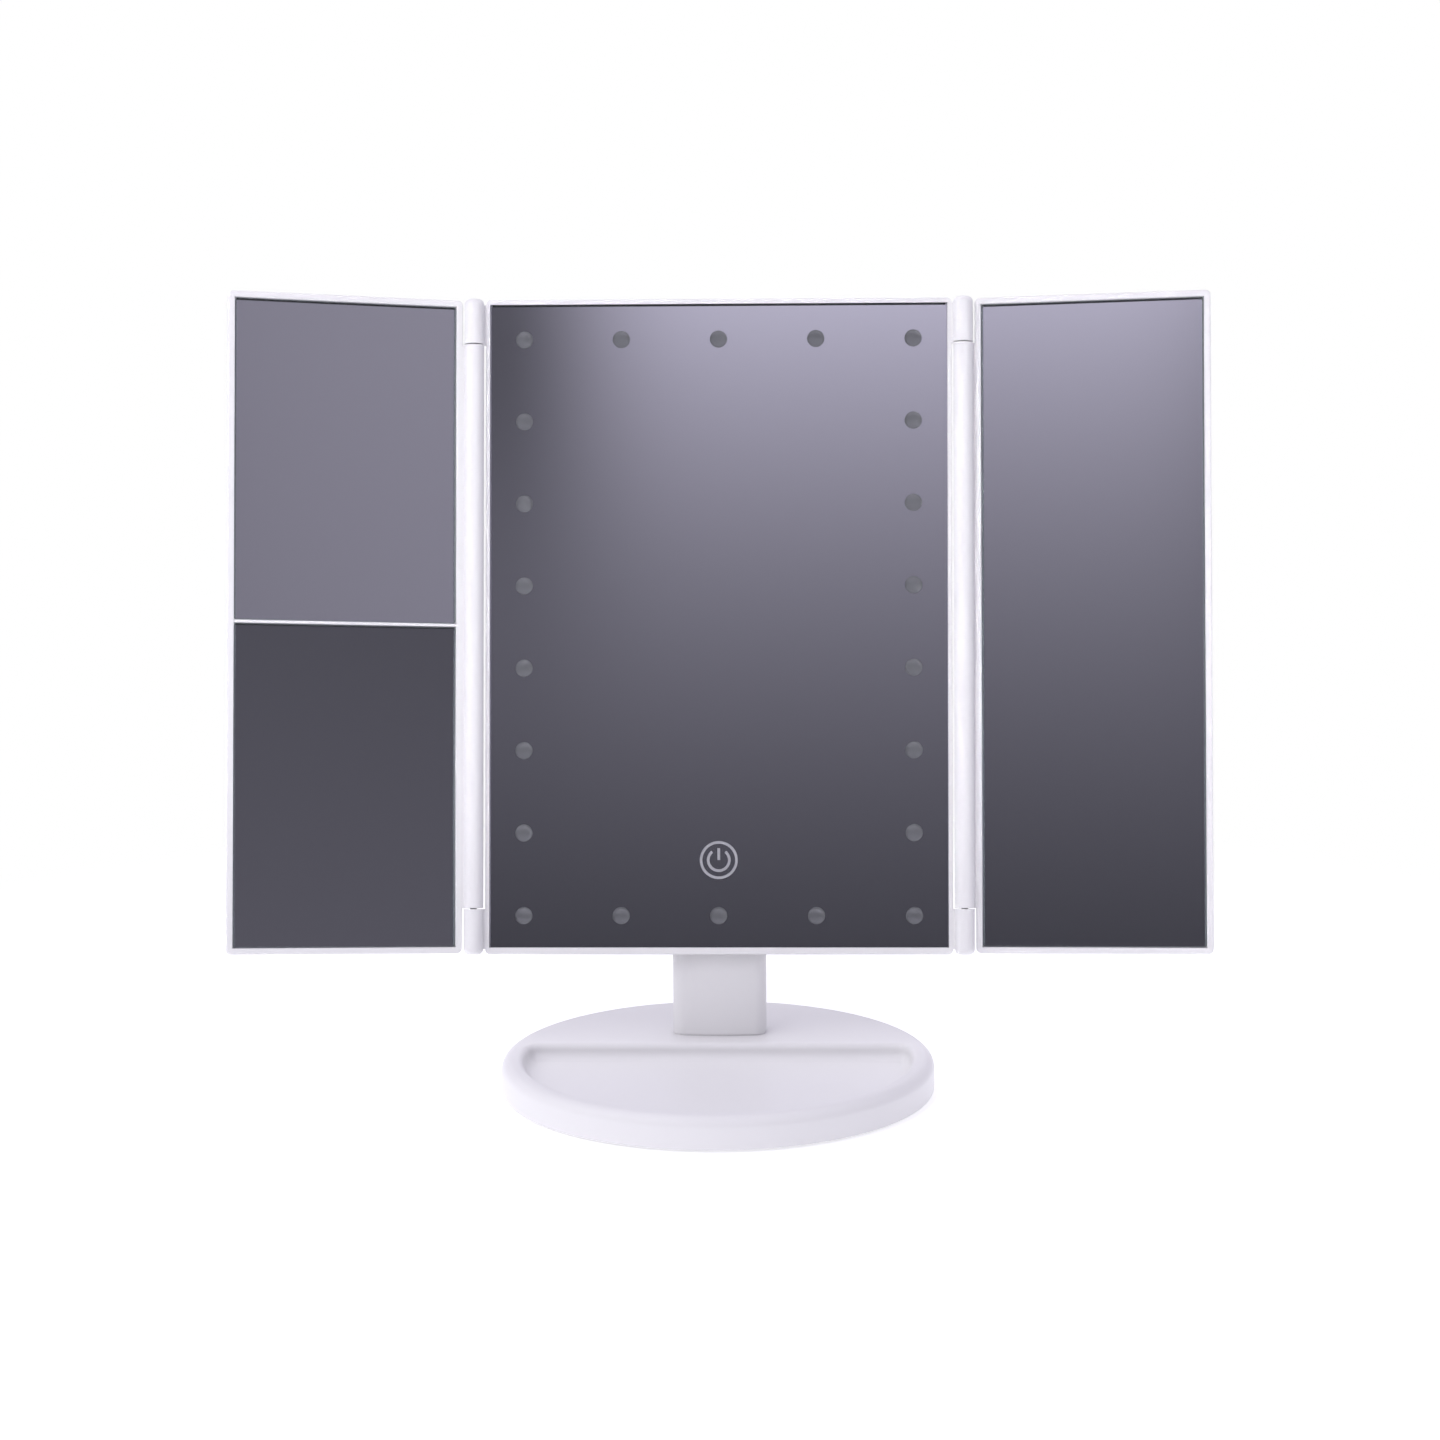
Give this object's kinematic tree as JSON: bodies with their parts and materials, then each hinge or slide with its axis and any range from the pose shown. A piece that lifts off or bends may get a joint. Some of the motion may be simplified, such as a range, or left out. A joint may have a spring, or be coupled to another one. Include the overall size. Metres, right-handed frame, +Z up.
{
  "type": "trifold vanity mirror",
  "caption": "Free-standing trifold vanity mirror: a tilting lit centre mirror, two folding side mirrors and a round tray base.",
  "frame": {"origin": "middle of the base's foot ring, on the table plane", "axes": "+Z up, the mirror faces -Y, +X to the right of the person who looks at the object"},
  "size_m": [0.3548, 0.166, 0.2827],
  "materials": {
    "white_plastic": "satin white moulded ABS",
    "pale_plastic": "matt white",
    "steel": "plain steel",
    "screw_steel": "nickel plated",
    "foot_rubber": "soft matt rubber",
    "bush_plastic": "acetal",
    "clear_glass": "polished clear float glass",
    "mirror_layer": "silvered",
    "magnifying_mirror": "silvered, slightly concave",
    "board_green": "solder mask",
    "led_phosphor": "phosphor",
    "diffuser": "frosted",
    "copper": "copper foil",
    "black_plastic": "matt",
    "cell_wrap": "plain sleeve",
    "lead_insulation": "insulated wire",
    "pad_foam": "foam"
  },
  "bodies": {
    "base": {"base_shell": "white_plastic", "base_bottom": "pale_plastic", "base_weight": "steel", "foot_ring": "foot_rubber", "base_screws": "screw_steel", "stem_shell": "white_plastic", "stem_rear_cover": "white_plastic", "stem_screws": "screw_steel", "tilt_bushes": "bush_plastic"},
    "head": {"tilt_shaft": "steel", "centre_frame": "white_plastic", "centre_glass": "clear_glass", "centre_silvering": "mirror_layer", "light_baffle": "pale_plastic", "led_board": "board_green", "leds": "led_phosphor", "icon_diffuser": "diffuser", "touch_pad": "copper", "back_cover": "white_plastic", "control_board": "board_green", "usb_socket": "screw_steel", "switch_body": "black_plastic", "battery_contacts": "screw_steel", "batteries": "cell_wrap", "battery_leads": "lead_insulation", "cover_screws": "screw_steel", "hinge_pins": "steel"},
    "left_wing": {"left_wing_shell": "white_plastic", "left_upper_mirror": "magnifying_mirror", "left_lower_mirror": "magnifying_mirror", "left_wing_pads": "pad_foam"},
    "right_wing": {"right_wing_shell": "white_plastic", "right_mirror": "mirror_layer", "right_wing_pads": "pad_foam"},
    "battery_door": {"battery_door": "white_plastic"},
    "switch_knob": {"switch_knob": "black_plastic"}
  },
  "joints": [
    {"name": "head_tilt", "type": "hinge", "parent": "base", "child": "head", "pos_m": [0, 0.031, 0.049], "axis": [1, 0, 0], "range_deg": [-77.5, 16.5]},
    {"name": "left_wing_hinge", "type": "hinge", "parent": "head", "child": "left_wing", "pos_m": [-0.08915, 0.0188, 0.05171], "axis": [0, 0.2164, 0.9763], "range_deg": [-15, 165]},
    {"name": "right_wing_hinge", "type": "hinge", "parent": "head", "child": "right_wing", "pos_m": [0.08915, 0.0188, 0.05171], "axis": [0, -0.2164, -0.9763], "range_deg": [-8.5, 171.5]},
    {"name": "battery_door_lift", "type": "slide", "parent": "head", "child": "battery_door", "axis": [0, 0.9763, -0.2164], "range_m": [0, 0.03]},
    {"name": "power_switch_slide", "type": "slide", "parent": "head", "child": "switch_knob", "axis": [-1, 0, 0], "range_m": [0, 0.003]}
  ]
}
